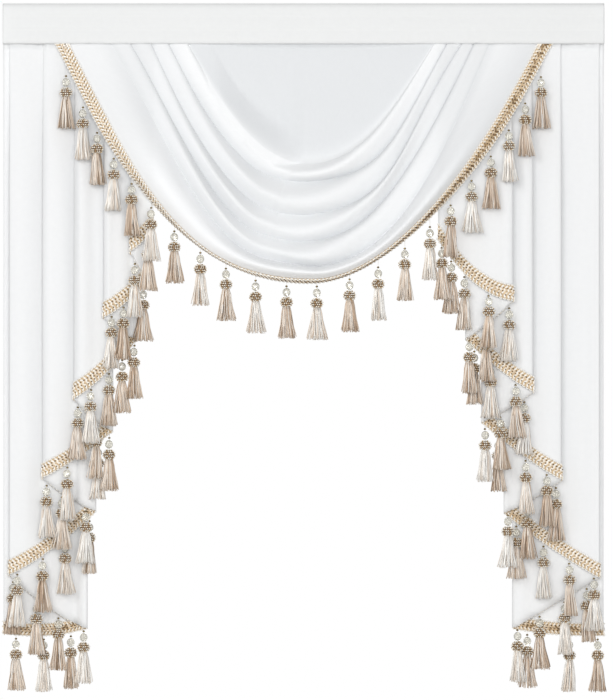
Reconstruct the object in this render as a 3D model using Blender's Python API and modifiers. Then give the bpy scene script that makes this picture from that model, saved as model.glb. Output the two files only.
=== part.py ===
"""A waterfall valance: a rod sleeve, a swag in hanging rolls, and two pleated tails with tasselled braid.

Metres, +Z up, the viewer on the -Y side. The origin is the middle of the sleeve's top edge.
Heights are given as drops below that edge, and depths as distances towards the viewer.
"""

import math

import bmesh
import bpy
from mathutils import Vector

MM = 0.001

# Sleeve for the rod, across the whole width
WIDTH = 1.000
HEADER_DROP = 67 * MM
HEADER_FRONT = 15 * MM
HEADER_BACK = 12 * MM
HEADER_WALL = 1.5 * MM
HEADER_TOP_RADIUS = 10 * MM
HEADER_SEAM_RADIUS = 3 * MM
CORNER_STEPS = 4

# Cloth, braid and the gap kept between pieces
CLOTH = 1.0 * MM
BRAID = 2.0 * MM
BRAID_WIDTH = 20 * MM
GAP = 0.3 * MM
SEAM_DROP = HEADER_DROP + GAP
BRAID_GAP = 0.8 * MM
BRAID_OFFSET = CLOTH / 2 + BRAID_GAP + BRAID / 2

# Pleats of a tail: a pair of layers takes up one step of depth. Lean brings the inner layers back
# under the sleeve.
TAIL_BACK = 4 * MM
TAIL_LEAN = 11 * MM
STACK_STEP = 2.0 * MM
PAIR_STEP = 14.7 * MM
INNER_STEP = 3.0 * MM
INNER_FOLD = 9.0 * MM
OUTER_FOLD = 4.5 * MM
INNER_REACH = 4.5 * MM
OUTER_REACH = 3.2 * MM
FOLD_STEPS = 3
FULL_OPEN_DROP = 325 * MM
FLARE_DROPS = (0.0, 0.16, 0.33, 0.5, 0.66, 0.83, 1.0)
SPAN_STEPS = 2
LOWER_STEPS = 2

# Each layer of a tail, back to front: where its hem starts, how far it sags below a straight line
# before the next start, and how far out its tassels hang. All in mm, and the last row is the end.
LEFT_LAYERS = (
    # out, drop, sag, tassels
    (500, 1048, 8, (479, 433, 388)),
    (360, 1041, 10, (366, 408, 444, 483)),
    (489, 950, 9, (475, 433, 396, 356)),
    (345, 844, 6, (361, 401, 426)),
    (433, 789, 4, (391, 341, 322)),
    (316, 711, 6, (343, 374)),
    (380, 658, 7, (351, 322, 300, 279)),
    (275, 558, 5, ()),
    (330, 523, 6, (317, 297, 265)),
    (258, 460, 2, (278,)),
    (285, 415, 0, (256,)),
    (248, 380, 0, ()),
)
RIGHT_LAYERS = (
    # out, drop, sag, tassels
    (500, 1052, 4, (490, 443, 373)),
    (348, 1041, 0, (356, 393, 434, 471)),
    (492, 955, 5, (482, 441, 399, 354)),
    (333, 847, 5, (339, 371, 419)),
    (428, 792, 5, (403, 368, 323, 301)),
    (295, 696, 4, (326, 366)),
    (380, 646, 6, (351, 310, 283)),
    (268, 558, 4, (274, 301, 340)),
    (346, 495, 22, (305, 266, 244, 228)),
    (223, 394, 0, ()),
)

# The swag's lines, from the lip of its first roll to the hem. Each hangs from two points of the
# seam to a lowest point. A handle is how far a curve runs out and down before it bends, and how
# flat it comes in, as shares of its own width and drop. Forward is how far it bulges.
SWAG_LINES = (
    # left, right, low x, low drop, left handle, right handle, forward
    (-192, 217, 8, 267, (0.34, 0.62, 0.37), (0.33, 0.57, 0.42), 18),
    (-224, 238, -37, 299, (0.38, 0.59, 0.39), (0.37, 0.79, 0.62), 30),
    (-253, 263, -43, 356, (0.43, 0.68, 0.30), (0.39, 0.61, 0.69), 41),
    (-287, 283, -39, 398, (0.45, 0.58, 0.41), (0.48, 0.98, 0.36), 51),
    (-320, 310, -6, 441, (0.45, 0.63, 0.50), (0.38, 0.78, 0.40), 60),
    (-390, 390, 16, 459, (0.33, 0.67, 0.50), (0.30, 0.56, 0.32), 72),
    (-413, 414, 13, 467, (0.32, 0.74, 0.34), (0.25, 0.52, 0.32), 72),
)
SWAG_BACK = -9.2 * MM
BACKING_INSET = 14 * MM
BACKING_ROWS = 3
ROLL_ROWS = 4
OUTER_ROLL_ROWS = 5
HALF_COLUMNS = 15
CROWDING = 0.35
ROLL_AT_SEAM = 2.5 * MM
ROLL_AT_LOW = 13 * MM
CREST_AT_SEAM = 0.5
CREST_AT_LOW = 0.64
FULL_BULGE_DROP = 330 * MM
TRACE_STEPS = 200
TRACE_REACH = 0.01

# How far right of the middle the swag's tassels hang, in mm
SWAG_TASSELS = (
    -394, -365, -341, -313, -283, -250, -213, -170, -128, -79, -28,
    22, 76, 123, 167, 208, 242, 277, 309, 339, 367, 394,
)

# One hanging tassel: drops below the braid's lower edge, with radii, in mm
TASSEL_RINGS = (
    # drop, radius
    (-0.5, 0.8), (4.5, 0.8), (12, 0.8), (18.5, 7.0), (26.5, 2.4), (34, 10.3), (41.5, 10.0),
    (45.5, 7.5),
)
TASSEL_SIDES = 6
LOCK_END = 95 * MM
LOCK_SPREAD = 3.8 * MM
LOCK_SWELL = 1.5
LOCK_DEPTH = 0.75
STRING_SLANT_FRONT = 0.0
STRING_SLANT_BEHIND = 4.5 * MM
STRING_END = 12 * MM
ROOT_SHARE = 0.08
TASSEL_REACH = (
    # drop, how far it reaches across, and towards and away from the viewer
    (12, 1.5, 1.5), (18.5, 7.2, 7.2), (26.5, 3, 3), (34, 10.4, 10.4), (41.5, 10.4, 10.2),
    (45.5, 8, 8), (95, 13, 9.5),
)
REACH_STEPS = 50
REACH_SIDES = (-1.0, -0.6, 0.0, 0.6, 1.0)
TASSEL_GAP = 1.0 * MM
TOLERANCE = 1e-9

WHITE_CLOTH = ("white voile", (0.93, 0.94, 0.94, 1.0), 0.8)
GOLD_BRAID = ("gold and ivory braid", (0.62, 0.46, 0.30, 1.0), 0.55)


def smooth(share):
    """Eases from 0 to 1."""
    share = min(max(share, 0.0), 1.0)
    return share * share * (3 - 2 * share)


def mix(a, b, share):
    return a + (b - a) * share


def make_material(name, colour, roughness):
    material = bpy.data.materials.new(name)
    material.use_nodes = True
    shader = material.node_tree.nodes["Principled BSDF"]
    shader.inputs["Base Color"].default_value = colour
    shader.inputs["Roughness"].default_value = roughness
    shader.inputs["Metallic"].default_value = 0.0
    return material


def add_object(name, mesh, collection, material=None):
    thing = bpy.data.objects.new(name, mesh)
    collection.objects.link(thing)
    if material:
        mesh.materials.append(material)
    return thing


def grid_mesh(name, rows, closed=False):
    """A mesh whose vertices are rows of points, joined row to row, and round each row if closed.
    Every grid is cut into triangles the same way, so that a twisted strip and its cover match."""
    shape = bmesh.new()
    lines = [[shape.verts.new(point) for point in row] for row in rows]
    around = len(rows[0])
    for upper, lower in zip(lines, lines[1:]):
        for i in range(around if closed else around - 1):
            j = (i + 1) % around
            if i < around // 2:
                shape.faces.new((upper[i], upper[j], lower[j]))
                shape.faces.new((upper[i], lower[j], lower[i]))
            else:
                shape.faces.new((upper[i], upper[j], lower[i]))
                shape.faces.new((upper[j], lower[j], lower[i]))
    bmesh.ops.recalc_face_normals(shape, faces=shape.faces)
    mesh = bpy.data.meshes.new(name)
    shape.to_mesh(mesh)
    shape.free()
    for face in mesh.polygons:
        face.use_smooth = True
    return mesh


def thicken(thing, thickness, offset=0.0):
    solid = thing.modifiers.new("thickness", "SOLIDIFY")
    solid.thickness = thickness
    solid.offset = offset
    solid.use_even_offset = True


def sleeve_outline():
    """Points of the sleeve's cross-section, as (y, z), clockwise from the back of its top edge."""
    top, seam = HEADER_TOP_RADIUS, HEADER_SEAM_RADIUS
    corners = (
        # centre y, centre z, radius, first angle
        (HEADER_BACK - top, -top, top, 90),
        (HEADER_BACK - seam, seam - HEADER_DROP, seam, 0),
        (seam - HEADER_FRONT, seam - HEADER_DROP, seam, -90),
        (top - HEADER_FRONT, -top, top, -180),
    )
    points = []
    for y, z, radius, start in corners:
        for step in range(CORNER_STEPS + 1):
            angle = math.radians(start - 90 * step / CORNER_STEPS)
            points.append((y + radius * math.cos(angle), z + radius * math.sin(angle)))
    return points


def make_header(collection, material):
    outline = sleeve_outline()
    rows = [[(x, y, z) for y, z in outline] for x in (-WIDTH / 2, 0.0, WIDTH / 2)]
    mesh = grid_mesh("header_sleeve", rows, closed=True)
    thicken(add_object("header_sleeve", mesh, collection, material), HEADER_WALL, offset=-1.0)


class Tail:
    """A tail's cloth in plan: a zigzag of layers, each in front of the one before."""

    def __init__(self, name, side, layers):
        self.name = name
        self.side = side
        self.hem = [(out * MM, drop * MM) for out, drop, _, _ in layers]
        self.sag = [sag * MM for _, _, sag, _ in layers]
        self.tassels = [[out * MM for out in outs] for _, _, _, outs in layers]
        self.stack = []
        self.open = []
        for k in range(len(layers) - 1):
            self.stack.append((STACK_STEP * k, STACK_STEP * k))
            self.open.append((self.corner_depth(k, 1), self.corner_depth(k + 1, -1)))
        self.columns = self.make_columns()

    def corner_depth(self, k, side):
        """The depth of the hem's corner k, on its nearer (side 1) or farther (side -1) layer."""
        if k == 0:
            return 0.0
        inner = k % 2 == 1
        fold = INNER_FOLD if inner else OUTER_FOLD
        return PAIR_STEP * (k // 2) + (INNER_STEP if inner else 0.0) + side * fold / 2

    def at(self, k, out):
        """A column of layer k at a distance out."""
        (out_a, drop_a), (out_b, drop_b) = self.hem[k], self.hem[k + 1]
        share = (out - out_a) / (out_b - out_a)
        return {
            "out": out,
            "stack": mix(*self.stack[k], share),
            "open": mix(*self.open[k], share),
            "drop": mix(drop_a, drop_b, share) + 4 * self.sag[k] * share * (1 - share),
            "rise": abs(drop_b - drop_a) / abs(out_b - out_a),
            "layer": k,
        }

    def make_columns(self):
        """The columns of the cloth: distance out, depth in the stack, depth when open, hem's drop,
        hem's slope, and layer, which is None on a fold."""
        columns = []
        layers = len(self.open)
        for k in range(layers):
            out_a, out_b = self.hem[k][0], self.hem[k + 1][0]
            inward = k % 2 == 0
            near, far = (OUTER_REACH, -INNER_REACH) if inward else (INNER_REACH, -OUTER_REACH)
            side = -1 if inward else 1
            start = out_a + side * (near if k else 0.0)
            end = out_b + side * (far if k < layers - 1 else 0.0)
            for step in range(SPAN_STEPS + 1):
                columns.append(self.at(k, mix(start, end, step / SPAN_STEPS)))
            if k < layers - 1:
                columns.extend(self.fold(columns[-1], self.at(k + 1, end), -side * far))
        return columns

    def fold(self, last, following, reach):
        """The round turn from one layer to the next."""
        turns = []
        for step in range(1, FOLD_STEPS):
            angle = math.pi * step / FOLD_STEPS
            share = (1 - math.cos(angle)) / 2
            keys = ("stack", "open", "drop", "rise")
            turn = {key: mix(last[key], following[key], share) for key in keys}
            turn["out"] = last["out"] + reach * math.sin(angle)
            turn["layer"] = None
            turns.append(turn)
        return turns

    def front(self, out, drop, layers):
        """How far forward the foremost of some layers lies at a place, or None where none hangs."""
        found = []
        for k in layers:
            outs = sorted((self.hem[k][0], self.hem[k + 1][0]))
            if outs[0] <= out <= outs[1]:
                column = self.at(k, out)
                if drop < column["drop"]:
                    trim = CLOTH / 2 if k % 2 else BRAID_OFFSET + BRAID / 2
                    found.append(-self.point(column, drop).y + trim)
        return max(found, default=None)

    def lean(self, out):
        return TAIL_LEAN * (WIDTH / 2 - out) / (WIDTH / 4)

    def depth(self, column, drop):
        """How far in front of the tail's back plane a column is at a drop."""
        share = smooth((drop - SEAM_DROP) / (FULL_OPEN_DROP - SEAM_DROP))
        return mix(column["stack"], column["open"], share)

    def point(self, column, drop, out_shift=0.0, forward_shift=0.0):
        out = column["out"] + out_shift
        y = TAIL_BACK + self.lean(column["out"]) - self.depth(column, drop) - forward_shift
        return Vector((self.side * out, y, -drop))

    def face_normals(self):
        """For each column, the way its face looks in plan when open, as (out, forward), and
        lengthened at a bend so that an offset stays parallel."""
        flat = [Vector((c["out"], c["open"] - self.lean(c["out"]))) for c in self.columns]
        normals = []
        for i in range(len(flat)):
            sides = [flat[j + 1] - flat[j] for j in (i - 1, i) if 0 <= j < len(flat) - 1]
            across = [Vector((run.y, -run.x)).normalized() for run in sides]
            middle = sum(across, Vector((0.0, 0.0))).normalized()
            normals.append(middle / middle.dot(across[0]))
        return normals

    def cloth_rows(self):
        flare = [mix(SEAM_DROP, FULL_OPEN_DROP, share) for share in FLARE_DROPS]
        rows = [[self.point(c, drop) for c in self.columns] for drop in flare]
        for step in range(1, LOWER_STEPS + 1):
            share = step / LOWER_STEPS
            rows.append([self.point(c, mix(flare[-1], c["drop"], share)) for c in self.columns])
        return rows

    def braid_edges(self):
        """The braid's upper and lower edges, a little in front of the cloth's face at the hem."""
        upper, lower = [], []
        for column, normal in zip(self.columns, self.face_normals()):
            height = BRAID_WIDTH * math.sqrt(1 + column["rise"] ** 2)
            shift = {"out_shift": normal.x * BRAID_OFFSET, "forward_shift": normal.y * BRAID_OFFSET}
            upper.append(self.point(column, column["drop"] - height, **shift))
            lower.append(self.point(column, column["drop"], **shift))
        return upper, lower


def make_tail(tail, collection, material):
    cloth = add_object(tail.name, grid_mesh(tail.name, tail.cloth_rows()), collection, material)
    thicken(cloth, CLOTH)


def half_curve(end, low, handle, share):
    """A point of a line from its end at the seam (share 0) to its lowest point (share 1)."""
    run = low - end
    bend = end + Vector((handle[0] * run.x, handle[1] * run.y))
    level = low - Vector((handle[2] * run.x, 0.0))
    rest = 1 - share
    return (
        end * rest**3 + bend * 3 * rest * rest * share
        + level * 3 * rest * share * share + low * share**3
    )


def swag_line(index, across):
    """A point of a swag line, as (x, drop). Across runs from -1 at the left end to 1 at the right."""
    left, right, low_x, low_drop, left_handle, right_handle, _ = SWAG_LINES[index]
    low = Vector((low_x, low_drop)) * MM
    end = Vector(((left if across < 0 else right) * MM, SEAM_DROP))
    return half_curve(end, low, left_handle if across < 0 else right_handle, 1 - abs(across))


def swag_forward(amount, drop):
    return amount * MM * smooth((drop - SEAM_DROP) / (FULL_BULGE_DROP - SEAM_DROP))


def swag_point(flat, forward):
    return Vector((flat.x, SWAG_BACK - forward, -flat.y))


def backing_row(share, stations):
    """A row of the flat cloth behind the first roll, from the seam (share 0) to its lip (share 1)."""
    row = []
    for across in stations:
        lip = swag_line(0, across)
        inset = BACKING_INSET * (1 - share) * abs(across) ** 3 * (1 if across < 0 else -1)
        flat = Vector((lip.x + inset, mix(SEAM_DROP, lip.y, share)))
        row.append(swag_point(flat, swag_forward(SWAG_LINES[0][6], flat.y) * share))
    return row


def roll_row(index, share, stations):
    """A row of the roll between two swag lines. The crest lies lower than half-way at the middle."""
    row = []
    for across in stations:
        flat = swag_line(index, across).lerp(swag_line(index + 1, across), share)
        low = 1 - across * across
        crest = mix(CREST_AT_SEAM, CREST_AT_LOW, low)
        rise = math.sin(math.pi * share ** (math.log(0.5) / math.log(crest)))
        height = mix(ROLL_AT_SEAM, ROLL_AT_LOW, smooth(low)) * rise
        amount = mix(SWAG_LINES[index][6], SWAG_LINES[index + 1][6], share)
        row.append(swag_point(flat, swag_forward(amount, flat.y) + height))
    return row


def hem_row(stations):
    """The hem lies a braid's width from the line above it, square to that line. Where the two look
    closer than that, the cloth turns under."""
    band_index, hem_index = len(SWAG_LINES) - 2, len(SWAG_LINES) - 1
    traced = [swag_line(hem_index, 2 * i / TRACE_STEPS - 1) for i in range(TRACE_STEPS + 1)]
    row = []
    for across in stations:
        band = swag_line(band_index, across)
        ahead = swag_line(band_index, min(across + TRACE_REACH, 1.0))
        behind = swag_line(band_index, max(across - TRACE_REACH, -1.0))
        tangent = (ahead - behind).normalized()
        seen = min(min((point - band).length for point in traced), BRAID_WIDTH)
        hem = band + Vector((-tangent.y, tangent.x)) * seen
        if abs(across) == 1:
            hem = swag_line(hem_index, across)
        under = math.sqrt(BRAID_WIDTH**2 - seen**2)
        row.append(swag_point(hem, swag_forward(SWAG_LINES[-1][6], band.y) - under))
    return row


def swag_rows():
    steps = 2 * HALF_COLUMNS
    stations = [2 * i / steps - 1 for i in range(steps + 1)]
    stations = [mix(even, math.sin(math.pi / 2 * even), CROWDING) for even in stations]
    rows = [backing_row(i / BACKING_ROWS, stations) for i in range(BACKING_ROWS)]
    last_roll = len(SWAG_LINES) - 3
    for index in range(last_roll + 1):
        count = OUTER_ROLL_ROWS if index == last_roll else ROLL_ROWS
        for i in range(count):
            rows.append(roll_row(index, i / count, stations))
    rows.append(roll_row(last_roll, 1.0, stations))
    rows.append(hem_row(stations))
    return rows


def make_swag(collection, material):
    rows = swag_rows()
    cloth = add_object("swag", grid_mesh("swag", rows), collection, material)
    thicken(cloth, CLOTH)
    return rows


def swag_braid_edges(rows):
    """The braid's two edges in front of the swag's last strip."""
    band, hem = rows[-2], rows[-1]
    upper, lower = [], []
    for i, (top, bottom) in enumerate(zip(band, hem)):
        ahead, behind = min(i + 1, len(hem) - 1), max(i - 1, 0)
        along = (hem[ahead] + band[ahead]) - (hem[behind] + band[behind])
        out = along.cross(bottom - top).normalized()
        if out.y > 0:
            out = -out
        for edge, point in ((upper, top), (lower, bottom)):
            edge.append(point + out * BRAID_OFFSET)
            edge[-1].z = min(edge[-1].z, -SEAM_DROP - BRAID / 2)
    return upper, lower


def tassel_mesh():
    """One tassel: string, bead and head in one turned shape, and three locks that grow from the head."""
    shape = bmesh.new()
    loops = []
    for drop, radius in TASSEL_RINGS:
        loop = []
        for side in range(TASSEL_SIDES):
            angle = 2 * math.pi * side / TASSEL_SIDES
            x, y = radius * math.cos(angle), radius * math.sin(angle)
            loop.append(shape.verts.new((x * MM, y * MM, -drop * MM)))
        loops.append(loop)
    for upper, lower in zip(loops, loops[1:]):
        for i in range(TASSEL_SIDES):
            j = (i + 1) % TASSEL_SIDES
            shape.faces.new((upper[i], lower[i], lower[j], upper[j]))
    shape.faces.new(loops[0])
    tip = shape.verts.new((0.0, 0.0, -TASSEL_RINGS[-1][0] * MM))
    wedges = []
    for i in range(TASSEL_SIDES):
        wedges.append(shape.faces.new((loops[-1][i], tip, loops[-1][(i + 1) % TASSEL_SIDES])))
    locks = bmesh.ops.extrude_discrete_faces(shape, faces=wedges[::2])["faces"]
    for lock in locks:
        centre = lock.calc_center_median()
        outward = Vector((centre.x, centre.y, 0.0)).normalized()
        for vertex in lock.verts:
            spread = (vertex.co - centre) * LOCK_SWELL + centre + outward * LOCK_SPREAD
            vertex.co = Vector((spread.x, spread.y * LOCK_DEPTH, -LOCK_END))
    bmesh.ops.recalc_face_normals(shape, faces=shape.faces)
    mesh = bpy.data.meshes.new("tassel")
    shape.to_mesh(mesh)
    shape.free()
    return mesh


def root_line(edges):
    """The line inside the braid, just above its lower edge, that tassels hang from."""
    return [lower.lerp(upper, ROOT_SHARE) for upper, lower in zip(*edges)]


def place_on(line, x):
    """The point of a line of points at a given x, or its end where the line stops short of it."""
    x = min(max(x, min(point.x for point in line)), max(point.x for point in line))
    for a, b in zip(line, line[1:]):
        if (a.x - x) * (b.x - x) <= 0:
            return a.lerp(b, (x - a.x) / (b.x - a.x))


def tassel_reach(below):
    """How far a tassel reaches across and in depth, or None above and below it."""
    for (drop_a, *reach_a), (drop_b, *reach_b) in zip(TASSEL_REACH, TASSEL_REACH[1:]):
        if drop_a * MM - TOLERANCE <= below <= drop_b * MM + TOLERANCE:
            share = (below / MM - drop_a) / (drop_b - drop_a)
            return [mix(a, b, share) * MM for a, b in zip(reach_a, reach_b)]
    return None


def ahead_of_cloth(x, drop, reach, front):
    """How far forward a tassel's axis must lie to clear the cloth behind it at one height."""
    wanted = []
    for side in REACH_SIDES:
        cloth = front(x + side * reach[0], drop)
        if cloth is not None:
            wanted.append(cloth + reach[1] * math.sqrt(1 - side * side) + TASSEL_GAP)
    return max(wanted, default=-math.inf)


def ahead_of_tassel(x, drop, reach, other, other_lean, _):
    """How far forward a tassel's axis must lie to clear another tassel at one height."""
    other_reach = tassel_reach(drop + other.z)
    if other_reach is None:
        return -math.inf
    aside = abs(x - other.x) / (reach[0] + other_reach[0] + TASSEL_GAP)
    if aside >= 1:
        return -math.inf
    apart = (reach[1] + other_reach[1] + TASSEL_GAP) * math.sqrt(1 - aside * aside)
    return other_lean - other.y + apart


def forward_lean(root, front, hung):
    """How far a tassel leans forward of its root to clear the cloth and the tassels behind it.
    Front gives how far forward the cloth lies at an x and a drop. Hung lists the tassels placed
    so far."""
    lean = 0.0
    for step in range(REACH_STEPS + 1):
        below = mix(STRING_END, LOCK_END, step / REACH_STEPS)
        reach = tassel_reach(below)
        drop = below - root.z
        wanted = [ahead_of_cloth(root.x, drop, reach, front)]
        wanted += [ahead_of_tassel(root.x, drop, reach, *other) for other in hung]
        lean = max(lean, max(wanted) + root.y)
    return lean


def hang_tassels(name, unit, places, collection):
    """All the tassels of one braid as one mesh. Each one's string slants forward by its lean."""
    shape = bmesh.new()
    for root, lean, slant_start in places:
        start = len(shape.verts)
        shape.from_mesh(unit)
        shape.verts.ensure_lookup_table()
        for vertex in shape.verts[start:]:
            share = (-vertex.co.z - slant_start) / (STRING_END - slant_start)
            slant = lean * min(max(share, 0.0), 1.0)
            vertex.co += root - Vector((0.0, slant, 0.0))
    mesh = bpy.data.meshes.new(name)
    shape.to_mesh(mesh)
    shape.free()
    tassels = add_object(name, mesh, collection)
    tassels.hide_render = True
    tassels.display_type = "WIRE"
    return tassels


def make_trim(name, edges, tassels, collection, material):
    braid = add_object(name, grid_mesh(name, edges), collection, material)
    thicken(braid, BRAID)
    join = braid.modifiers.new("tassels", "BOOLEAN")
    join.operation = "UNION"
    join.object = tassels


def tail_tassels(tail, roots):
    """Where a tail's tassels hang, as (root, lean, slant's start), from the back layer to the front.
    On the layers that show the cloth's reverse, the string clears the hem before it slants."""
    hung = []
    for k, outs in enumerate(tail.tassels):
        line = [point for point, column in zip(roots, tail.columns) if column["layer"] == k]
        behind = range(k)

        def front(x, drop):
            return tail.front(abs(x), drop, behind)

        for out in outs:
            root = place_on(line, tail.side * out)
            start = STRING_SLANT_BEHIND if k % 2 else STRING_SLANT_FRONT
            hung.append((root, forward_lean(root, front, hung), start))
    return hung


def swag_tassels(tails, roots, hung):
    """Where the swag's tassels hang, in front of both tails and of the tassels already hung."""
    def front(x, drop):
        tail = tails[0] if x < 0 else tails[1]
        return tail.front(abs(x), drop, range(len(tail.open)))

    places = []
    for x in SWAG_TASSELS:
        root = place_on(roots, x * MM)
        places.append((root, forward_lean(root, front, hung + places), STRING_SLANT_FRONT))
    return places


def main():
    for thing in list(bpy.data.objects):
        bpy.data.objects.remove(thing, do_unlink=True)
    scene = bpy.context.scene
    valance = bpy.data.collections.new("waterfall valance")
    joined = bpy.data.collections.new("joined shapes")
    scene.collection.children.link(valance)
    scene.collection.children.link(joined)
    white = make_material(*WHITE_CLOTH)
    gold = make_material(*GOLD_BRAID)

    make_header(valance, white)
    unit = tassel_mesh()
    tails = []
    hung = []
    for name, side, layers in (("tail_left", -1, LEFT_LAYERS), ("tail_right", 1, RIGHT_LAYERS)):
        tail = Tail(name, side, layers)
        make_tail(tail, valance, white)
        edges = tail.braid_edges()
        places = tail_tassels(tail, root_line(edges))
        tassels = hang_tassels(name + "_tassels", unit, places, joined)
        make_trim(name + "_trim", edges, tassels, valance, gold)
        tails.append(tail)
        hung.extend(places)

    rows = make_swag(valance, white)
    edges = swag_braid_edges(rows)
    places = swag_tassels(tails, root_line(edges), hung)
    tassels = hang_tassels("swag_tassels", unit, places, joined)
    make_trim("swag_trim", edges, tassels, valance, gold)


main()
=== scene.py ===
# %% [markdown]
# A waterfall valance
#
# The real thing is a ready-made window dressing of sheer white voile. A flat sleeve slides on the
# rod. Between its ends hangs a swag, a cloth let down in soft rolls, and at each side hangs a tail,
# cut on a slope and pleated so that its hem climbs in steps. A looped braid edges every lower hem,
# and from it hang tassels, each a string, a small brass bead, a crystal, a bound knob and a skirt.
#
# The solids give each of these its size and place. This script dresses them: it lays finer
# cloth on their folds, loops the braid, and ties real-looking tassels where the solid ones hang.

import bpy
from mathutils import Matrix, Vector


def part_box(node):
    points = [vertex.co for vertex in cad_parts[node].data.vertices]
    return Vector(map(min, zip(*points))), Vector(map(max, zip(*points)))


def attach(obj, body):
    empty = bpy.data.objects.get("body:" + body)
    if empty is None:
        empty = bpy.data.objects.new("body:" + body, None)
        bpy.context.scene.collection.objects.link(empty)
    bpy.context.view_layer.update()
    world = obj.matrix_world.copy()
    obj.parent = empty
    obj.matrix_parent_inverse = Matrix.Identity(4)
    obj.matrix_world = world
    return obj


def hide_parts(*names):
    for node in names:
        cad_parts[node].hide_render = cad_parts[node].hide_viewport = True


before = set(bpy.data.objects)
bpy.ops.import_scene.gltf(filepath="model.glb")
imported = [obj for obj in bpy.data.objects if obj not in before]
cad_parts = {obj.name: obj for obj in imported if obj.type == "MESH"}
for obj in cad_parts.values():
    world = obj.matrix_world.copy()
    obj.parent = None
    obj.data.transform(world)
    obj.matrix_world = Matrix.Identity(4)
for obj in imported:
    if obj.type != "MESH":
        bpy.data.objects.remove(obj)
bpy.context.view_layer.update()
print("solids:", ", ".join(sorted(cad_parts)))

# %% The modules that the steps below need
import math

import bpy
import numpy as np
from mathutils import Vector

scene = bpy.context.scene
MM = 0.001
print("made with Blender", bpy.app.version_string)

# %% [markdown]
# Sizes
#
# All lengths are in metres, and the tables in millimetres. Heights are drops below the top edge of
# the sleeve. The sleeve's own sizes are read from its solid, so that the cloth always fits it.

# %% Sizes of the sleeve, the cloth and the braid
sleeve_low, sleeve_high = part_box("header_sleeve")
WIDTH = sleeve_high.x - sleeve_low.x
SLEEVE_DROP = -sleeve_low.z
SLEEVE_FRONT = -sleeve_low.y
SLEEVE_BACK = sleeve_high.y
SEAM_DROP = SLEEVE_DROP + 0.3 * MM

VOILE = 0.5 * MM
BRAID_WIDTH = 20 * MM
BRAID_GROUND = 1.0 * MM
BRAID_OFFSET = 1.6 * MM
STITCH_OFFSET = 2.3 * MM
print(f"sleeve {WIDTH:.3f} m wide and {SLEEVE_DROP * 1000:.0f} mm deep")

# %% [markdown]
# The pleats of a tail
#
# A tail hangs as a zigzag of layers, each in front of the last. Every row below is one layer, from
# the back to the front: how far out its hem starts, how far down, and how far the hem sags below a
# straight line to the next start. The last row only says where the front layer ends. The tassels
# are listed by how far out they hang, and a capital letter gives the yarn: T for taupe and C for
# cream.

# %% The layers of both tails
LEFT_LAYERS = (
    # out, drop, sag, tassels
    (500, 1048, 8, ((479, "T"), (433, "C"), (388, "T"))),
    (360, 1041, 10, ((366, "C"), (408, "T"), (444, "T"), (483, "T"))),
    (489, 950, 9, ((475, "C"), (433, "T"), (396, "C"), (356, "T"))),
    (345, 844, 6, ((361, "C"), (401, "T"), (426, "C"))),
    (433, 789, 4, ((391, "C"), (341, "C"), (322, "T"))),
    (316, 711, 6, ((343, "T"), (374, "T"))),
    (380, 658, 7, ((351, "C"), (322, "T"), (300, "T"), (279, "T"))),
    (275, 558, 5, ()),
    (330, 523, 6, ((317, "C"), (297, "T"), (265, "T"))),
    (258, 460, 2, ((278, "C"),)),
    (285, 415, 0, ((256, "T"),)),
    (248, 380, 0, ()),
)
RIGHT_LAYERS = (
    # out, drop, sag, tassels
    (500, 1052, 4, ((490, "T"), (443, "C"), (373, "T"))),
    (348, 1041, 0, ((356, "C"), (393, "T"), (434, "C"), (471, "T"))),
    (492, 955, 5, ((482, "C"), (441, "T"), (399, "C"), (354, "T"))),
    (333, 847, 5, ((339, "C"), (371, "T"), (419, "T"))),
    (428, 792, 5, ((403, "T"), (368, "C"), (323, "T"), (301, "C"))),
    (295, 696, 4, ((326, "T"), (366, "C"))),
    (380, 646, 6, ((351, "T"), (310, "C"), (283, "T"))),
    (268, 558, 4, ((274, "T"), (301, "T"), (340, "C"))),
    (346, 495, 22, ((305, "T"), (266, "T"), (244, "T"), (228, "T"))),
    (223, 394, 0, ()),
)

# %% How the layers stand in front of each other
TAIL_BACK = 4 * MM
TAIL_LEAN = 11 * MM
STACK_STEP = 2.0 * MM
PAIR_STEP = 14.7 * MM
INNER_STEP = 3.0 * MM
INNER_FOLD = 9.0 * MM
OUTER_FOLD = 4.5 * MM
INNER_REACH = 4.5 * MM
OUTER_REACH = 3.2 * MM
FULL_OPEN_DROP = 325 * MM
# Painted shade on a tail's braid: the back layer's all along, the other layers' towards their inner end.
DEEP_PAINTED_SHADE, INWARD_PAINTED_SHADE = 0.4, 0.3
print(len(LEFT_LAYERS) - 1, "layers on the left and", len(RIGHT_LAYERS) - 1, "on the right")

# %% [markdown]
# The lines of the swag
#
# A swag hangs from two rows of points on the seam. Each roll's edge is a curve from a point on the
# left to a point on the right, and the lowest point is near the middle. The first line is the lip
# of the flat cloth behind, the next four are the valleys between rolls, then come the upper edge
# of the braid and the hem.
#
# The folds get painted shade: near each fold the cloth is drawn greyer than on the crests. A table
# says how much painted shade they get from the left to the right. The tassels don't all hang on
# strings of one length either: near the ends of the swag the strings are longer.

# %% The lines of the swag and its tassels
SWAG_LINES = (
    # left, right, low x, low drop, left handle, right handle, forward
    (-192, 217, 8, 267, (0.34, 0.62, 0.37), (0.33, 0.57, 0.42), 18),
    (-224, 238, -37, 299, (0.38, 0.59, 0.39), (0.37, 0.79, 0.62), 30),
    (-253, 263, -43, 356, (0.43, 0.68, 0.30), (0.39, 0.61, 0.69), 41),
    (-287, 283, -39, 398, (0.45, 0.58, 0.41), (0.48, 0.98, 0.36), 51),
    (-320, 310, -6, 441, (0.45, 0.63, 0.50), (0.38, 0.78, 0.40), 60),
    (-390, 390, 16, 459, (0.33, 0.67, 0.50), (0.30, 0.56, 0.32), 72),
    (-413, 414, 13, 467, (0.32, 0.74, 0.34), (0.25, 0.52, 0.32), 72),
)
HEM_LINE = len(SWAG_LINES) - 1
BRAID_LINE = HEM_LINE - 1
OUTER_ROLL = BRAID_LINE - 1
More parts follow.
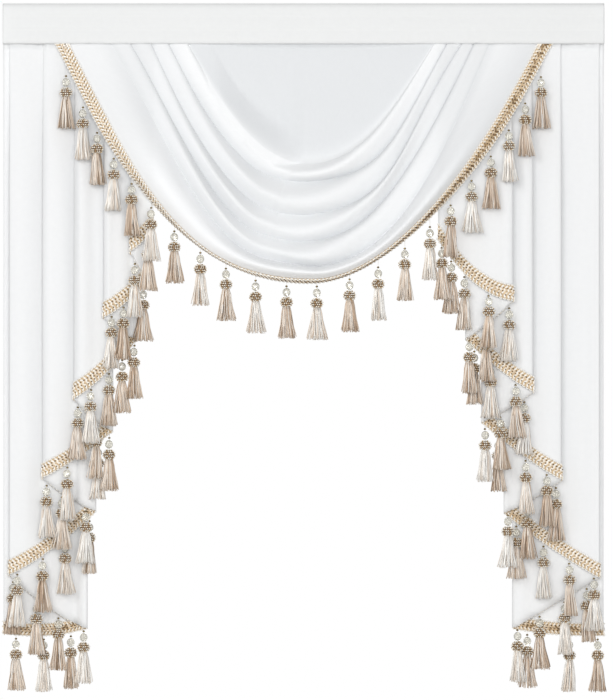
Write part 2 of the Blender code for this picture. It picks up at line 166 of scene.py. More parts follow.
SWAG_BACK = -9.2 * MM
BACKING_INSET = 14 * MM
ROLL_AT_SEAM = 5 * MM
ROLL_AT_LOW = 23 * MM
ROLL_UNEVEN = 0.18
CRESTS = (
    # how far across, share of the roll's width
    (-1.0, 0.2), (-0.6, 0.36), (-0.25, 0.5), (0.0, 0.6), (0.15, 0.52), (0.35, 0.25), (0.7, 0.2), (1.0, 0.15),
)
# Both say where they start across, over how much they ease in, where they end, and the ease there.
LIP_OPENS = (-1.0, 0.3, -0.02, 0.24)
CREASED, CREASE = (-0.85, 0.5, 0.1, 0.18), 0.9
EDGE_ON_AT, EDGE_ON_REACH, EDGE_ON_SHARE = 0.2, 0.35, 0.5
OPENING = 0.22
FOLD_SHADES = (
    # how far across, how much painted shade the folds get, share of the roll's width that is shaded
    (-1.0, 0.6, 0.25), (-0.3, 0.9, 0.28), (0.0, 0.5, 0.2), (0.3, 1.0, 0.15), (1.0, 0.9, 0.15),
)
# Painted shade on the crests of the inner rolls, and the most that the outer roll gets.
CREST_SHADE, OUTER_ROLL_SHADE = 0.25, 0.6
OPEN_SIDE_FROM, OPEN_SIDE_OVER = 0.2, 0.3
OUTER_CREST = 0.5
LIP_SHARE, LIP_STRIP = 1.15, 56 * MM
FULL_BULGE_DROP = 330 * MM
SWAG_TASSELS = (
    (-394, "T"), (-365, "C"), (-341, "T"), (-313, "C"), (-283, "T"), (-250, "C"), (-213, "T"),
    (-170, "C"), (-128, "T"), (-79, "C"), (-28, "T"), (22, "C"), (76, "T"), (123, "C"),
    (167, "T"), (208, "C"), (242, "T"), (277, "C"), (309, "T"), (339, "C"), (367, "T"), (394, "T"),
)
LONGER_STRINGS = (
    # how far out a tassel hangs, how much longer its string is
    (-394, 12), (-365, 9), (-313, 4), (-213, 3), (-100, 3), (22, 0), (76, 2), (123, 7), (208, 9),
    (277, 7), (339, 9), (367, 10), (394, 14),
)
print(OUTER_ROLL + 1, "rolls and", len(SWAG_TASSELS), "tassels on the swag")

# %% [markdown]
# Small helpers
#
# Most of the shapes below are worked out for many points at once, so the helpers take arrays. One
# function turns a paint chart's hex colour to the linear numbers that shaders use.


# %% Helpers for numbers and colours
def smooth(share):
    """Eases from 0 to 1."""
    share = np.clip(share, 0.0, 1.0)
    return share * share * (3 - 2 * share)


def mix(a, b, share):
    return a + (b - a) * share


def linear(hex_colour, alpha=1.0):
    """The linear colour of an sRGB hex value."""
    channels = [int(hex_colour[i:i + 2], 16) / 255 for i in (1, 3, 5)]
    return tuple(c / 12.92 if c <= 0.04045 else ((c + 0.055) / 1.055) ** 2.4 for c in channels) + (alpha,)


def unit(vectors):
    """Each vector of an array at length 1."""
    return vectors / np.maximum(np.linalg.norm(vectors, axis=-1, keepdims=True), 1e-12)


print("white is", linear("#ffffff")[:3])


# %% Helpers for sheets
def deselect():
    bpy.ops.object.select_all(action="DESELECT")


def add_sheet(name, rows, flat):
    """A grid primitive with one point for each of rows, laid in its place. Flat holds each point's
    place on the cut cloth, in metres, and becomes its UV map, so that a weave follows the cloth."""
    down, across = rows.shape[:2]
    deselect()
    bpy.ops.mesh.primitive_grid_add(x_subdivisions=across - 1, y_subdivisions=down - 1)
    thing = bpy.context.object
    thing.name = thing.data.name = name
    thing.data.vertices.foreach_set("co", rows.reshape(-1).astype(np.float32))
    corners = np.array([corner.vertex_index for corner in thing.data.loops])
    places = flat.reshape(-1, 2)[corners]
    thing.data.uv_layers.active.data.foreach_set("uv", places.reshape(-1).astype(np.float32))
    thing.data.update()
    thing.data.shade_smooth()
    return thing


def apply_modifiers(thing):
    deselect()
    thing.select_set(True)
    bpy.context.view_layer.objects.active = thing
    for modifier in list(thing.modifiers):
        bpy.ops.object.modifier_apply(modifier=modifier.name)


def thicken(thing, thickness):
    solid = thing.modifiers.new("thickness", "SOLIDIFY")
    solid.thickness = thickness
    solid.offset = 0.0
    apply_modifiers(thing)


print("a sheet is laid first and thickened afterwards")


# %% Helpers for repeated shapes
def unit_mesh(thing):
    """The points and the triangles of an object, which is then removed. It is what gets repeated."""
    bpy.ops.object.mode_set(mode="EDIT")
    bpy.ops.mesh.select_all(action="SELECT")
    bpy.ops.mesh.quads_convert_to_tris()
    bpy.ops.object.mode_set(mode="OBJECT")
    points = np.array([vertex.co for vertex in thing.data.vertices])
    faces = np.array([tuple(face.vertices) for face in thing.data.polygons])
    bpy.data.objects.remove(thing)
    return points, faces


def repeat(shape, turns, places):
    """A shape repeated at many places, each copy turned and stretched by its own 3 by 3 matrix."""
    points, faces = shape
    moved = np.einsum("nij,pj->npi", turns, points) + places[:, None, :]
    starts = np.arange(len(places))[:, None, None] * len(points)
    return moved.reshape(-1, 3), (faces[None] + starts).reshape(-1, faces.shape[1])


def add_mesh(name, parts, tones=None, flat=False):
    """One object from many (points, faces) parts. Tones gives a number for each part, or for each
    of its points, which the material reads."""
    points, faces, start = [], [], 0
    for part_points, part_faces in parts:
        points.append(part_points)
        faces.extend((part_faces + start).tolist())
        start += len(part_points)
    mesh = bpy.data.meshes.new(name)
    mesh.from_pydata(np.concatenate(points).tolist(), [], faces)
    if tones is not None:
        values = np.concatenate([np.broadcast_to(t, len(p)) for t, (p, _) in zip(tones, parts)])
        layer = mesh.attributes.new("tone", "FLOAT", "POINT")
        layer.data.foreach_set("value", values.astype(np.float32))
    thing = bpy.data.objects.new(name, mesh)
    scene.collection.objects.link(thing)
    if not flat:
        mesh.shade_smooth()
    return thing


def triangles(thing):
    return sum(len(face.vertices) - 2 for face in thing.data.polygons)


print("shapes can be repeated and counted")

# %% [markdown]
# The camera
#
# The valance was photographed straight on, flat against a white ground. A long lens from far away
# keeps the tassels at the sides from drifting outwards. The camera looks at the point of the
# valance that lies in the middle of the picture.

# %% Camera
PICTURE_WIDE, PICTURE_HIGH = 613, 700
VALANCE_LEFT, VALANCE_RIGHT, VALANCE_TOP = 2.5, 604.5, 3.0
METRES_A_PIXEL = WIDTH / (VALANCE_RIGHT - VALANCE_LEFT)
LENS, SENSOR = 200.0, 36.0

camera_data = bpy.data.cameras.new("camera")
camera_data.lens = LENS
camera_data.sensor_width = SENSOR
camera_data.dof.use_dof = False
camera_data.clip_end = 100.0
camera = bpy.data.objects.new("camera", camera_data)
scene.collection.objects.link(camera)
camera.rotation_euler = (math.radians(90), 0.0, 0.0)
camera.location = (
    (PICTURE_WIDE / 2 - (VALANCE_LEFT + VALANCE_RIGHT) / 2) * METRES_A_PIXEL,
    -SLEEVE_FRONT - PICTURE_HIGH * METRES_A_PIXEL * LENS / SENSOR,
    -(PICTURE_HIGH / 2 - VALANCE_TOP) * METRES_A_PIXEL,
)
scene.camera = camera
print(f"camera {-camera.location.y:.2f} m in front of the valance")

# %% [markdown]
# Light for white cloth
#
# White on white shows its folds only by a gentle slope of light. A big soft lamp stands to the left
# of the camera. A larger one stands behind it, so that its light reaches between the layers, and a
# third stands high behind the valance for its back. The white sky of the studio does the rest. The
# picture sees that sky as pure white, and the cloth is lit by a dimmer one, or the folds would wash
# out.

# %% Lights, studio sky and floor
scene.view_settings.view_transform = "Standard"
FLOOR_DROP, FLOOR_RADIUS = 2.15, 2.6
LAMPS = (
    # name, place, width, watts
    ("key", (-1.3, -3.7, 0.7), 1.2, 31.0),
    ("front", (0.3, -6.8, 0.0), 2.4, 214.0),
    ("back", (-1.2, 4.6, 3.6), 2.0, 150.0),
)
for name, place, wide, watts in LAMPS:
    lamp = bpy.data.lights.new(name, "AREA")
    lamp.size = wide
    lamp.energy = watts
    stand = bpy.data.objects.new(name, lamp)
    scene.collection.objects.link(stand)
    stand.location = place
    middle = Vector((0.0, 0.0, -0.45))
    stand.rotation_euler = (middle - stand.location).to_track_quat("-Z", "Y").to_euler()

SKY_SEEN, SKY_LIGHT = 1.0, 0.47
world = bpy.data.worlds.new("white studio")
scene.world = world
world.use_nodes = True
sky = world.node_tree
background = sky.nodes["Background"]
background.inputs["Color"].default_value = linear("#ffffff")
path = sky.nodes.new("ShaderNodeLightPath")
strength = sky.nodes.new("ShaderNodeMix")
strength.inputs["A"].default_value = SKY_LIGHT
strength.inputs["B"].default_value = SKY_SEEN
sky.links.new(path.outputs["Is Camera Ray"], strength.inputs["Factor"])
sky.links.new(strength.outputs["Result"], background.inputs["Strength"])

deselect()
bpy.ops.mesh.primitive_circle_add(
    vertices=96, radius=FLOOR_RADIUS, fill_type="NGON", location=(0.0, 0.0, -FLOOR_DROP)
)
floor = bpy.context.object
floor.name = "floor"
bpy.ops.object.transform_apply(location=True, rotation=False, scale=False)
print("floor", FLOOR_DROP, "m below the sleeve's top")

# %% [markdown]
# Finishes
#
# Each finish starts from what the real thing is. The cloth is polyester voile, a plain open weave
# of fine matt yarn, so it scatters light softly and a little of what lies behind it shows through.
# The braid and the skirts are viscose yarn, which has a silky gloss along each thread. The crystals
# are faceted glass and the small beads are brass.
#
# A node is always added in the same way, so one helper does it: settings are the node's own
# choices, values fill its sockets, and links feed them from other nodes.


# %% A helper for materials
def add_node(tree, kind, settings=None, values=None, links=None):
    made = tree.nodes.new(kind)
    for name, value in (settings or {}).items():
        setattr(made, name, value)
    for socket, value in (values or {}).items():
        made.inputs[socket].default_value = value
    for socket, source in (links or {}).items():
        tree.links.new(source, made.inputs[socket])
    return made


def start_material(name, values):
    material = bpy.data.materials.new(name)
    material.use_nodes = True
    shader = material.node_tree.nodes["Principled BSDF"]
    for socket, value in values.items():
        shader.inputs[socket].default_value = value
    return material, material.node_tree, shader


print("ready to mix finishes")

# %% Voile
# The real threads lie 0.35 mm apart, finer than a pixel of the picture. They are drawn 1.5 mm apart,
# faintly, so that the cloth looks woven when it is seen close.
THREAD_SPACING = 1.5 * MM
SLUB_LENGTH = 9 * MM
# The grey of the painted shade on the voile.
PAINTED_SHADE_GREY = "#e5e7e9"
COVER, COVER_CHANGE = 0.82, 0.03


def voile_material(name, hex_colour, cover):
    """The tone attribute, where a piece has it, marks painted shade: the flat single layer behind
    the swag and the depths of the folds are drawn in a greyer colour there."""
    material, tree, shader = start_material(name, {
        "Roughness": 0.75, "IOR": 1.5, "Specular IOR Level": 0.25,
        "Sheen Weight": 0.12, "Sheen Roughness": 0.5,
    })
    where = add_node(tree, "ShaderNodeTexCoord").outputs["UV"]
    # The bands of a wave texture repeat every 2 pi / (20 * scale).
    scale = 2 * math.pi / (20 * THREAD_SPACING)
    threads = [
        add_node(tree, "ShaderNodeTexWave", {"bands_direction": way}, {"Scale": scale, "Distortion": 0.6},
                 {"Vector": where}).outputs["Fac"]
        for way in ("X", "Y")
    ]
    weave = add_node(tree, "ShaderNodeMath", {"operation": "MAXIMUM"}, None, {0: threads[0], 1: threads[1]})
    slub = add_node(tree, "ShaderNodeTexNoise", None, {"Scale": 1 / SLUB_LENGTH, "Detail": 3.0},
                    {"Vector": where})
    thick = add_node(tree, "ShaderNodeMath", {"operation": "MULTIPLY_ADD"}, {1: 0.5},
                     {0: weave.outputs[0], 2: slub.outputs["Fac"]})
    alpha = add_node(tree, "ShaderNodeMapRange", None,
                     {"From Min": 0.3, "From Max": 1.2, "To Min": cover - COVER_CHANGE, "To Max": cover},
                     {"Value": thick.outputs[0]})
    tree.links.new(alpha.outputs["Result"], shader.inputs["Alpha"])
    painted_shade = add_node(tree, "ShaderNodeAttribute", {"attribute_name": "tone"}).outputs["Fac"]
    shade = add_node(tree, "ShaderNodeMix", {"data_type": "RGBA"},
                     {6: linear(hex_colour), 7: linear(PAINTED_SHADE_GREY)}, {0: painted_shade})
    tree.links.new(shade.outputs[2], shader.inputs["Base Color"])
    bump = add_node(tree, "ShaderNodeBump", None, {"Strength": 0.1, "Distance": 0.1 * MM},
                    {"Height": thick.outputs[0]})
    tree.links.new(bump.outputs["Normal"], shader.inputs["Normal"])
    return material


voile = voile_material("polyester voile, plain woven", "#f8f9fa", COVER)
doubled_voile = voile_material("doubled voile of the sleeve", "#f2f3f3", 0.8)
print("made", voile.name, "and", doubled_voile.name)

# %% Yarns
# Each yarn's tone runs along a ramp of the shades that its dye takes. The fine noise stands for the
# filaments, 0.1 mm in the real yarn and drawn 0.5 mm wide.
FILAMENT = 0.5 * MM


def yarn_material(name, shades, roughness):
    """Shades are (tone, hex colour) along the ramp."""
    material, tree, shader = start_material(name, {
        "Roughness": roughness, "IOR": 1.53, "Specular IOR Level": 0.5,
        "Sheen Weight": 0.2, "Sheen Roughness": 0.4,
    })
    tone = add_node(tree, "ShaderNodeAttribute", {"attribute_name": "tone"}).outputs["Fac"]
    ramp = add_node(tree, "ShaderNodeValToRGB", None, None, {"Fac": tone})
    stops = ramp.color_ramp.elements
    while len(stops) < len(shades):
        stops.new(1.0)
    for stop, (place, hex_colour) in zip(stops, shades):
        stop.position = place
        stop.color = linear(hex_colour)
    where = add_node(tree, "ShaderNodeTexCoord").outputs["Object"]
    stretch = add_node(tree, "ShaderNodeMapping", None, {"Scale": (1.0, 1.0, 0.15)}, {"Vector": where})
    filaments = add_node(tree, "ShaderNodeTexNoise", None, {"Scale": 1 / FILAMENT, "Detail": 2.0},
                         {"Vector": stretch.outputs["Vector"]})
    light = add_node(tree, "ShaderNodeMapRange", None, {"To Min": 0.82, "To Max": 1.12},
                     {"Value": filaments.outputs["Fac"]})
    shade = add_node(tree, "ShaderNodeVectorMath", {"operation": "SCALE"}, None,
                     {"Vector": ramp.outputs["Color"], "Scale": light.outputs["Result"]})
    tree.links.new(shade.outputs["Vector"], shader.inputs["Base Color"])
    bump = add_node(tree, "ShaderNodeBump", None, {"Strength": 0.3, "Distance": 0.15 * MM},
                    {"Height": filaments.outputs["Fac"]})
    tree.links.new(bump.outputs["Normal"], shader.inputs["Normal"])
    return material


braid_yarn = yarn_material("viscose braid yarn, looped", (
    (0.0, "#5d4628"), (0.12, "#a18258"), (0.3, "#d8bf9b"), (0.5, "#f0e4d3"), (0.75, "#fdf7ec"),
    (1.0, "#fffdf8"),
), 0.38)
knob_yarn = yarn_material("viscose knob yarn, bound", (
    (0.0, "#554027"), (0.2, "#8a6a45"), (0.5, "#cfae80"), (0.8, "#fbf0dc"), (1.0, "#fffdf4"),
), 0.35)
skirt_yarn = yarn_material("viscose skirt yarn, cut", (
    (0.0, "#9c8268"), (0.2, "#cdb298"), (0.42, "#e9d7c4"), (0.55, "#f2e6d9"), (0.8, "#fbf4eb"),
    (1.0, "#fffdf9"),
), 0.45)
print("made", braid_yarn.name + ",", knob_yarn.name, "and", skirt_yarn.name)

# %% Crystal and brass
# The crystals are pressed glass, milky with a breath of cream. The small beads are lacquered brass.
crystal, _, _ = start_material("pressed glass, faceted", {
    "Base Color": linear("#fffdf4"), "Roughness": 0.05, "IOR": 1.5, "Transmission Weight": 0.7,
})
brass, _, _ = start_material("lacquered brass, drawn", {
    "Base Color": linear("#8d7b55"), "Roughness": 0.22, "Metallic": 1.0,
})
pale_floor, _, _ = start_material("painted studio floor", {
    "Base Color": linear("#eceae6"), "Roughness": 0.7,
})
floor.data.materials.append(pale_floor)
print("made", crystal.name, "and", brass.name)

# %% [markdown]
# The sleeve
#
# The sleeve is a band of the same voile, doubled over and stitched along its lower edge, and hemmed
# at both ends. It could be a box with bevelled edges. A tube laid point by point is better, because
# the small puckers along its stitching and the two soft bands across its front are what make it
# look sewn.

# %% Sleeve
SLEEVE_STATIONS, SLEEVE_AROUND = 281, 56
TOP_RADIUS, SEAM_RADIUS = 10 * MM, 0.8 * MM
SLEEVE_CLOTH = 1.0 * MM
STITCHING_DROP, STITCHING_WIDE, STITCHING_DEEP = 63 * MM, 1.2 * MM, 0.5 * MM
GATHERED_FROM, GATHERED_OVER = 34 * MM, 22 * MM
PUCKER_SPACING, PUCKER_DEEP = 17 * MM, 0.45 * MM
WRINKLE_DEEP = 0.35 * MM
BANDS = (
    # drop, half width, depth
    (24 * MM, 3.5 * MM, 0.8 * MM),
    (47 * MM, 3.0 * MM, 0.7 * MM),
)
END_HEM, END_HEM_EASE, END_HEM_DEEP = 12 * MM, 1.5 * MM, 0.4 * MM


def sleeve_outline(count):
    """Points round the sleeve's cross-section as (y, drop), evenly spaced, from the top of the back."""
    top, seam = TOP_RADIUS, SEAM_RADIUS
    corners = (
        (SLEEVE_BACK - top, top, top, 90), (SLEEVE_BACK - seam, SLEEVE_DROP - seam, seam, 0),
        (seam - SLEEVE_FRONT, SLEEVE_DROP - seam, seam, -90), (top - SLEEVE_FRONT, top, top, -180),
    )
    points = []
    for y, drop, radius, start in corners:
        for angle in np.radians(np.linspace(start, start - 90, 9)):
            points.append((y + radius * math.cos(angle), drop - radius * math.sin(angle)))
    points = np.array(points + points[:1])
    length = np.concatenate([[0.0], np.cumsum(np.linalg.norm(np.diff(points, axis=0), axis=1))])
    even = np.linspace(0.0, length[-1], count)
    return np.stack([np.interp(even, length, points[:, i]) for i in (0, 1)], axis=1), length[-1]


def puckers(x, seed, spacing):
    """A row of uneven small gathers along x, from -1 to 1."""
    random = np.random.default_rng(seed)
    shift = sum(
        random.uniform(0.4, 1.0) * np.sin(x / (spacing * scale) + random.uniform(0, 6.28))
        for scale in (1.3, 2.9, 5.3)
    )
    return np.sin(2 * math.pi * x / spacing + 1.6 * shift) * (0.6 + 0.4 * np.sin(x / (spacing * 3.1) + seed))


outline, sleeve_round = sleeve_outline(SLEEVE_AROUND)
x = np.linspace(-WIDTH / 2, WIDTH / 2, SLEEVE_STATIONS)[None, :]
y, drop = outline[:, 0][:, None], outline[:, 1][:, None]
in_front = smooth((-y - SLEEVE_FRONT / 2) / (SLEEVE_FRONT / 2))
sink = sum(
    depth * np.exp(-((drop - place) / wide) ** 2) * (1 + 0.3 * np.sin(x * 23 + place * 900))
    for place, wide, depth in BANDS
)
sink = sink + STITCHING_DEEP * np.exp(-((drop - STITCHING_DROP) / STITCHING_WIDE) ** 2)
gathered = smooth((drop - GATHERED_FROM) / GATHERED_OVER)
sink = sink + PUCKER_DEEP * (1 - puckers(x, 3, PUCKER_SPACING)) * gathered / 2
sink = sink + WRINKLE_DEEP * (1 + np.sin(x * 31 + drop * 60) * np.sin(x * 9.7 + 2)) / 2
hemmed = smooth((np.abs(x) - (WIDTH / 2 - END_HEM)) / END_HEM_EASE)
sink = sink + END_HEM_DEEP * (1 - hemmed)
sleeve_rows = np.stack(np.broadcast_arrays(x, y + in_front * sink, -drop), axis=2)
round_it = np.linspace(0.0, sleeve_round, SLEEVE_AROUND)[:, None]
sleeve = add_sheet("sleeve", sleeve_rows, np.stack(np.broadcast_arrays(x, round_it), axis=2))
deselect()
sleeve.select_set(True)
bpy.ops.object.mode_set(mode="EDIT")
bpy.ops.mesh.select_all(action="SELECT")
bpy.ops.mesh.remove_doubles(threshold=0.01 * MM)
bpy.ops.mesh.normals_make_consistent(inside=False)
bpy.ops.object.mode_set(mode="OBJECT")
thicken(sleeve, SLEEVE_CLOTH)
sleeve.data.materials.append(doubled_voile)
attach(sleeve, "root")
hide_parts("header_sleeve")
print(f"sleeve: {triangles(sleeve)} triangles, {sleeve_round:.3f} m round")

# %% [markdown]
# The swag
#
# The swag is one cloth. Its top is flat and shows behind, then it bends over a lip into five
# hanging rolls, and its hem turns under behind the braid. Cloth simulation would drop it into folds
# of its own choosing. The folds here are the ones that were dressed by hand, so each is laid from
# its line: a roll comes forward slowly and turns under quickly.


# %% Points along the lines of the swag
def half_curve(end, low, handle, share):
    """Points of a line from its end at the seam (share 0) to its lowest point (share 1)."""
    run = low - end
    bend = end + np.array(handle[:2]) * run
    level = low - np.array((handle[2], 0.0)) * run
    share = np.asarray(share)[:, None]
    rest = 1 - share
    return end * rest**3 + 3 * bend * rest**2 * share + 3 * level * rest * share**2 + low * share**3


def swag_line(index, across):
    """Points of a swag line as (x, drop). Across runs from -1 at the left to 1 at the right."""
    left, right, low_x, low_drop, left_handle, right_handle, _ = SWAG_LINES[index]
    low = np.array((low_x, low_drop)) * MM
    return np.concatenate([
        half_curve(np.array((end * MM, SEAM_DROP)), low, handle, 1 - np.abs(across[chosen]))
        for end, handle, chosen in ((left, left_handle, across < 0), (right, right_handle, across >= 0))
    ])


def swag_forward(amount, drop):
    return amount * MM * smooth((drop - SEAM_DROP) / (FULL_BULGE_DROP - SEAM_DROP))


def swag_points(flat, forward):
    return np.stack([flat[:, 0], SWAG_BACK - forward, -flat[:, 1]], axis=1)


print("the lip hangs", round(swag_line(0, np.array([0.0]))[0, 1] * 1000), "mm down at the middle")


# %% The shape of a roll
def between(across, start, start_ease, end, end_ease):
    """1 between two places, eased from 0 at both."""
    return smooth((across - start) / start_ease) * smooth((end - across) / end_ease)


def lip_opens(across):
    """Where the cloth behind turns up steeply to its lip: on the left, between seam and low point."""
    return between(across, *LIP_OPENS)


def sharp(across):
    """Where a roll has a crease along its crest, instead of a round one."""
    return CREASE * between(across, *CREASED)


def roll_size(index, across):
    """How far a roll stands out from the folds above and below it."""
    uneven = 1 + ROLL_UNEVEN * np.sin(across * (5 + index) + 2 * index)
    return mix(ROLL_AT_SEAM, ROLL_AT_LOW, smooth(1 - across * across)) * uneven


def roll_rise(index, share, across):
    """A roll's profile, from 0 in one sharp fold to 0 in the next, with its crest at 1. The crest
    lies high on the right and low in the middle. The outer roll swells evenly."""
    crest = np.interp(across, *zip(*CRESTS))
    if index == OUTER_ROLL:
        crest = np.full_like(across, OUTER_CREST)
    rise = np.sin(math.pi * share ** (math.log(0.5) / np.log(crest)))
    creased = np.minimum(share / crest, (1 - share) / (1 - crest))
    if index < OUTER_ROLL:
        rise = mix(rise, creased, sharp(across))
    if index == 0:
        rise = np.where(share < crest, np.maximum(rise, LIP_SHARE * lip_opens(across)), rise)
    return rise


def painted_fold_shade(index, share, across):
    """How much painted shade a roll's cloth gets near its folds, drawn as a greyer colour. The outer
    roll has a fold above it only, and on the right it gets painted shade as it turns away towards
    the braid."""
    places, greys, widths = zip(*FOLD_SHADES)
    wide = np.interp(across, places, widths)
    grey = np.interp(across, places, greys)
    above = np.exp(-((share / wide) ** 2)) if index > 0 else np.zeros_like(across)
    if index == OUTER_ROLL:
        open_side = OUTER_ROLL_SHADE * smooth((across - OPEN_SIDE_FROM) / OPEN_SIDE_OVER) * share
        return np.maximum(OUTER_ROLL_SHADE * grey * above, open_side)
    below = np.exp(-(((1 - share) / wide) ** 2))
    return mix(CREST_SHADE if index else 0.0, grey, np.maximum(above, below))


print("a roll stands out", round(float(roll_size(1, np.array([0.0]))[0]) * 1000), "mm at the middle")


# %% Rows of the swag's cloth
def backing_row(share, across):
    """A row of the flat cloth behind the first roll, from the seam (share 0) to its lip (share 1).
    Where the folds open widest, it turns up to the lip in one narrow strip."""
    flat = swag_line(0, across)
    strip = LIP_STRIP / np.maximum(flat[:, 1] - SEAM_DROP, LIP_STRIP)
    climb = mix(share, np.clip((share - 1 + strip) / strip, 0, 1), lip_opens(across))
    lip = roll_size(0, across) * roll_rise(0, 0.0, across)
    flat[:, 0] -= BACKING_INSET * (1 - share) * np.abs(across) ** 3 * np.sign(across)
    flat[:, 1] = mix(SEAM_DROP, flat[:, 1], share)
    return swag_points(flat, (swag_forward(SWAG_LINES[0][6], flat[:, 1]) + lip) * climb)


def fold_line(index, across):
    """The bottom of a fold. Where the folds open widest, it lies a little above the swag line, since
    the line was taken from the middle of the shaded cloth."""
    line = swag_line(index, across)
    if 0 < index < BRAID_LINE:
        line = mix(line, swag_line(index - 1, across), OPENING * sharp(across)[:, None])
    return line


def roll_row(index, share, across):
    """A row of the roll between two folds."""
    flat = mix(fold_line(index, across), fold_line(index + 1, across), share)
    height = roll_size(index, across) * roll_rise(index, share, across)
    amount = mix(SWAG_LINES[index][6], SWAG_LINES[index + 1][6], share)
    return swag_points(flat, swag_forward(amount, flat[:, 1]) + height)


def hem_row(across):
    """The hem lies a braid's width from the line above it, square to that line. Where the two look
    closer than that, the cloth turns under, most of all right of the middle, where the braid shows
    edge-on."""
    traced = swag_line(HEM_LINE, np.linspace(-1, 1, 401))
    band = swag_line(BRAID_LINE, across)
    tangent = unit(swag_line(BRAID_LINE, np.minimum(across + 0.01, 1))
                   - swag_line(BRAID_LINE, np.maximum(across - 0.01, -1)))
    apart = np.linalg.norm(traced[None] - band[:, None], axis=2).min(axis=1)
    edge_on = EDGE_ON_SHARE * np.exp(-(((across - EDGE_ON_AT) / EDGE_ON_REACH) ** 2))
    seen = np.minimum(apart, BRAID_WIDTH) * (1 - edge_on)
    hem = band + np.stack([-tangent[:, 1], tangent[:, 0]], axis=1) * seen[:, None]
    hem[[0, -1]] = swag_line(HEM_LINE, across[[0, -1]])
    under = np.sqrt(BRAID_WIDTH**2 - seen**2)
    return swag_points(hem, swag_forward(SWAG_LINES[-1][6], band[:, 1]) - under)


middle_of_hem = hem_row(np.array([-1.0, 0.0, 1.0]))[1]
print(f"the hem hangs {-middle_of_hem[2] * 1000:.0f} mm down at the middle")

# %% Swag
SWAG_STATIONS, END_CROWDING = 221, 0.35
BACKING_ROWS, OUTER_ROLL_ROWS, STRIP_ROWS = 18, 20, 5
PAINTED_BACK_ROWS, PAINTED_BACK_FADE = BACKING_ROWS + 3, 5
ROLL_SHARES = (0.0, 0.03, 0.07, 0.12, 0.18, 0.25, 0.33, 0.42, 0.52, 0.62, 0.72, 0.81, 0.89, 0.95)
across = np.linspace(-1, 1, SWAG_STATIONS)
across = mix(across, np.sin(math.pi / 2 * across), END_CROWDING)
rows = [backing_row(i / BACKING_ROWS, across) for i in range(BACKING_ROWS)]
fold_shades = []
for index in range(OUTER_ROLL + 1):
    shares = np.arange(OUTER_ROLL_ROWS) / OUTER_ROLL_ROWS if index == OUTER_ROLL else ROLL_SHARES
    rows += [roll_row(index, share, across) for share in shares]
    fold_shades += [painted_fold_shade(index, share, across) for share in shares]
band_line = roll_row(OUTER_ROLL, 1.0, across)
hem_line = hem_row(across)
rows += [mix(band_line, hem_line, i / STRIP_ROWS) for i in range(STRIP_ROWS + 1)]
swag_rows = np.array(rows)


def cut_places(rows):
    """Where each point of a hanging sheet lies on the flat cloth, measured along its threads."""
    down = np.linalg.norm(np.diff(rows, axis=0), axis=2)
    along = np.linalg.norm(np.diff(rows, axis=1), axis=2)
    v = np.concatenate([np.zeros((1, rows.shape[1])), np.cumsum(down, axis=0)])
    u = np.concatenate([np.zeros((rows.shape[0], 1)), np.cumsum(along, axis=1)], axis=1)
    u = u - u[:, -1:] / 2
    return np.stack([np.broadcast_to(u[len(u) // 2], u.shape), v], axis=2)


swag = add_sheet("swag_cloth", swag_rows, cut_places(swag_rows))
swag.data.materials.append(voile)
# Painted shade: the flat cloth behind the swag and the cloth near each fold are drawn greyer through the
# tone attribute.
painted_shade = np.zeros(swag_rows.shape[:2], np.float32)
painted_shade[:PAINTED_BACK_ROWS] = smooth((PAINTED_BACK_ROWS - 1 - np.arange(PAINTED_BACK_ROWS)) / PAINTED_BACK_FADE)[:, None]
in_rolls = painted_shade[BACKING_ROWS:BACKING_ROWS + len(fold_shades)]
in_rolls[:] = np.maximum(in_rolls, np.array(fold_shades))
swag.data.attributes.new("tone", "FLOAT", "POINT").data.foreach_set("value", painted_shade.reshape(-1))
# Smooth shading would draw a bright line along the bottom of each fold, so the folds stay sharp.
fold_rows = [BACKING_ROWS + len(ROLL_SHARES) * index for index in range(1, OUTER_ROLL + 1)]
for edge in swag.data.edges:
    first, second = [corner // SWAG_STATIONS for corner in edge.vertices]
    edge.use_edge_sharp = first == second and first in fold_rows
thicken(swag, VOILE)
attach(swag, "root")
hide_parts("swag")


def sheet_area(rows):
    """The area of the cloth that a grid of points spans."""
    side, down = np.diff(rows, axis=1)[:-1], np.diff(rows, axis=0)[:, :-1]
    return float(np.linalg.norm(np.cross(side, down), axis=2).sum())


# %% [markdown]
# The tails
#
# A tail is cut on a slope and pleated, so each fold ends a step lower than the one in front. From
# above, its layers are a zigzag. The outer folds stand proud, and the cloth falls back from each of
# them towards the next, which is why one edge of every pleat catches the light.


